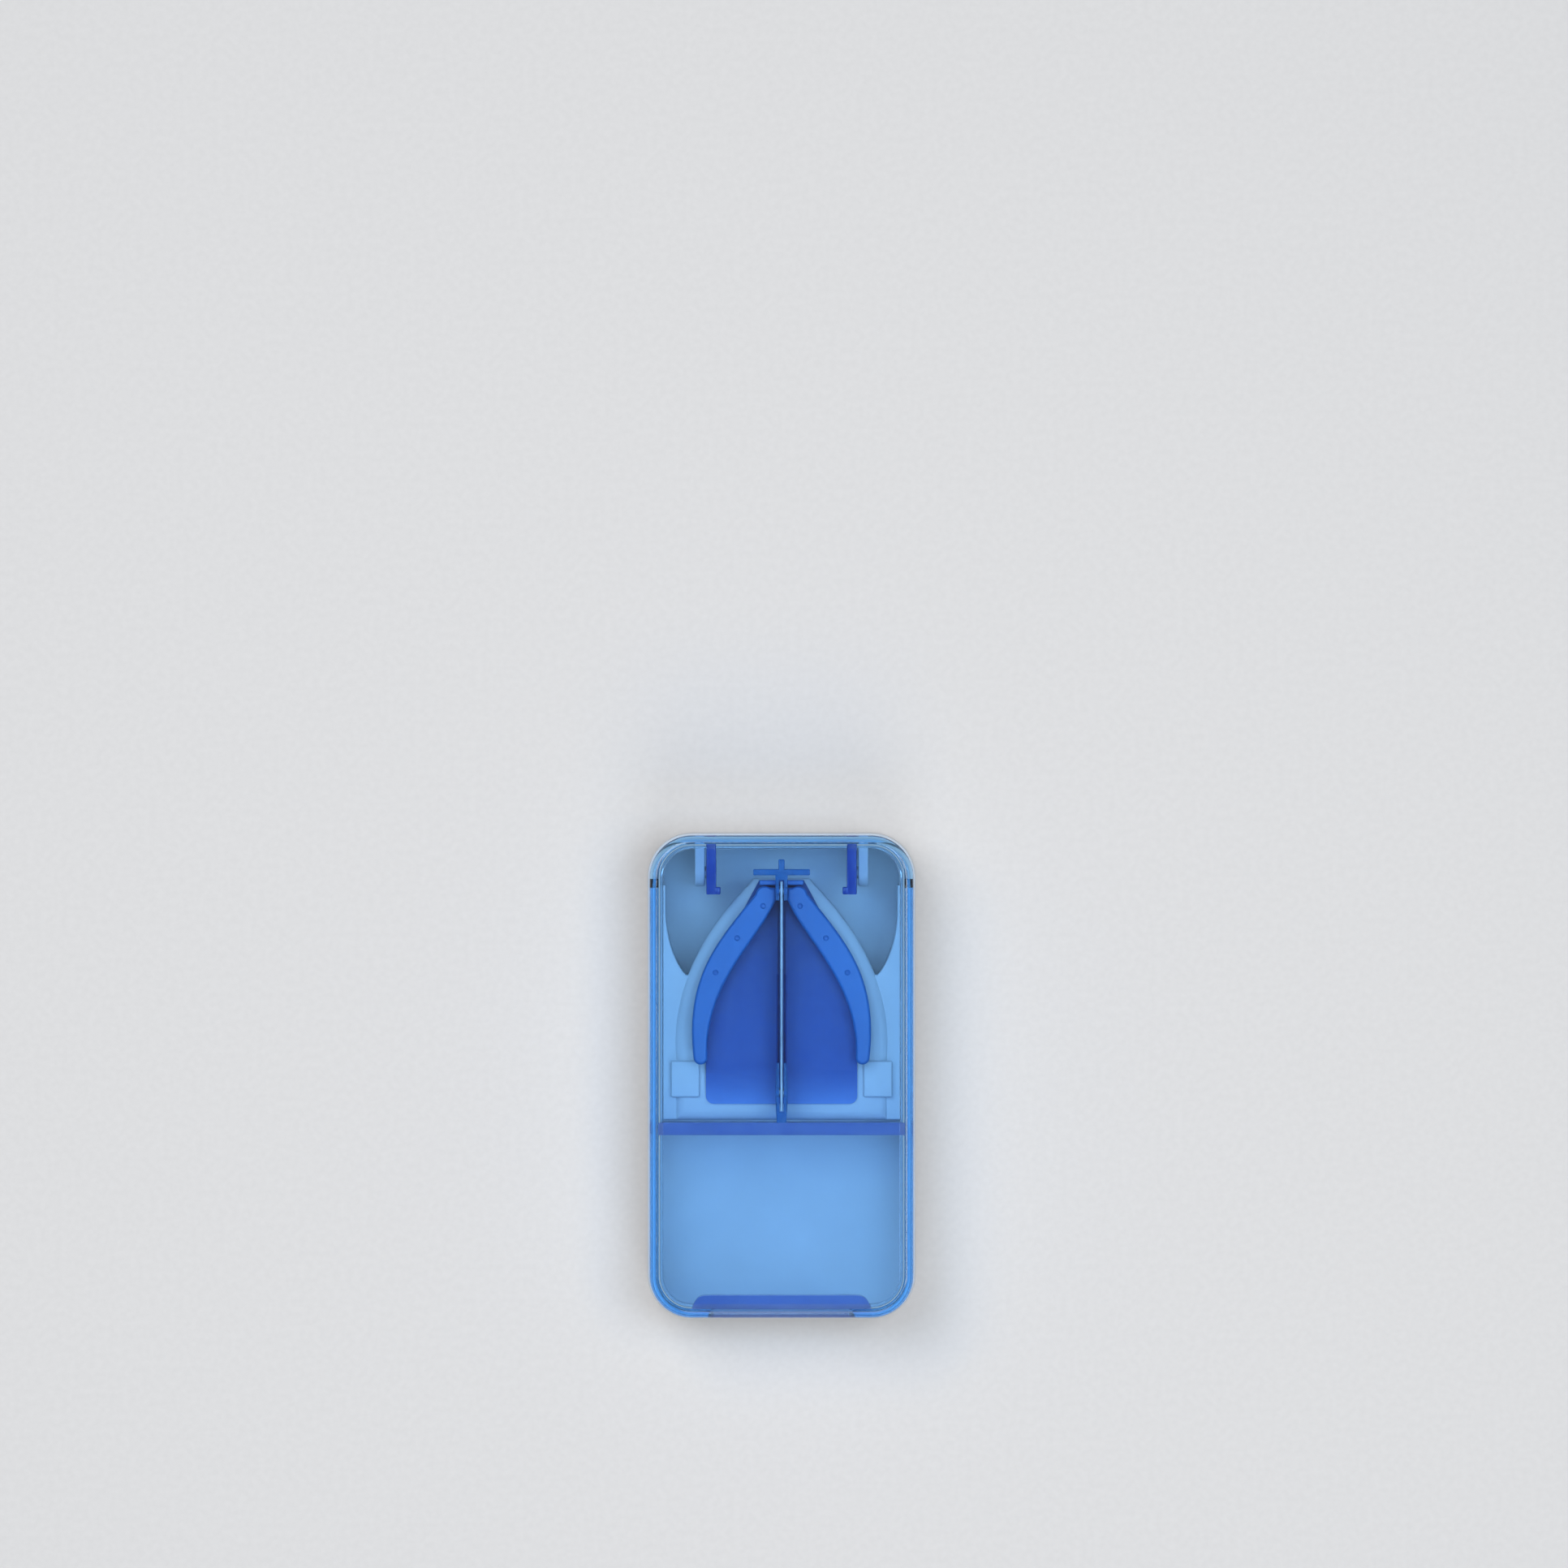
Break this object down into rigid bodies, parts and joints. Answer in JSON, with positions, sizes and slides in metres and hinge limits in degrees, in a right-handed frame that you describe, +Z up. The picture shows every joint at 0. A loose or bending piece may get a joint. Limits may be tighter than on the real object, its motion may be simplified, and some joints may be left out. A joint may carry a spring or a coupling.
{
  "type": "pill splitter",
  "caption": "Compact tablet cutter: pale tray with a storage bay and cutting deck, sprung vee arms, and a clear blue hinged lid that carries the blade.",
  "frame": {"origin": "centre of the tray's flat underside, which is the bottom centre of the closed object's box", "axes": "+X across the width, +Y along the length towards the hinge, +Z up; the row is closed at rest"},
  "size_m": [0.0436, 0.079, 0.0264],
  "materials": {
    "tray_plastic": "pale grey-white moulded plastic with a fine satin grain",
    "blue_plastic": "opaque mid-blue moulded plastic, satin",
    "clear_blue_plastic": "polished see-through blue plastic",
    "blade_steel": "bright ground steel strip with a bevelled edge",
    "pin_steel": "plain drawn steel pin"
  },
  "bodies": {
    "base": {"base_tray": "tray_plastic", "cutting_deck": "tray_plastic", "pill_pad": "blue_plastic"},
    "left_arm": {"left_arm": "blue_plastic"},
    "right_arm": {"right_arm": "blue_plastic"},
    "lid": {"lid": "clear_blue_plastic", "blade": "blade_steel", "blade_pin_front": "pin_steel", "blade_pin_rear": "pin_steel", "hinge_pin_left": "pin_steel", "hinge_pin_right": "pin_steel"}
  },
  "joints": [
    {"name": "lid_hinge", "type": "hinge", "parent": "base", "child": "lid", "pos_m": [0, 0.033, 0.0136], "axis": [-1, 0, 0], "range_deg": [0, 70]},
    {"name": "left_arm_flex", "type": "hinge", "parent": "base", "child": "left_arm", "pos_m": [-0.0027, 0.0293, 0.0169], "axis": [0, 0, -1], "range_deg": [0, 5], "stiffness_Nm_per_rad": 0.3},
    {"name": "right_arm_flex", "type": "hinge", "parent": "base", "child": "right_arm", "pos_m": [0.0027, 0.0293, 0.0169], "axis": [0, 0, 1], "range_deg": [0, 5], "stiffness_Nm_per_rad": 0.3}
  ]
}
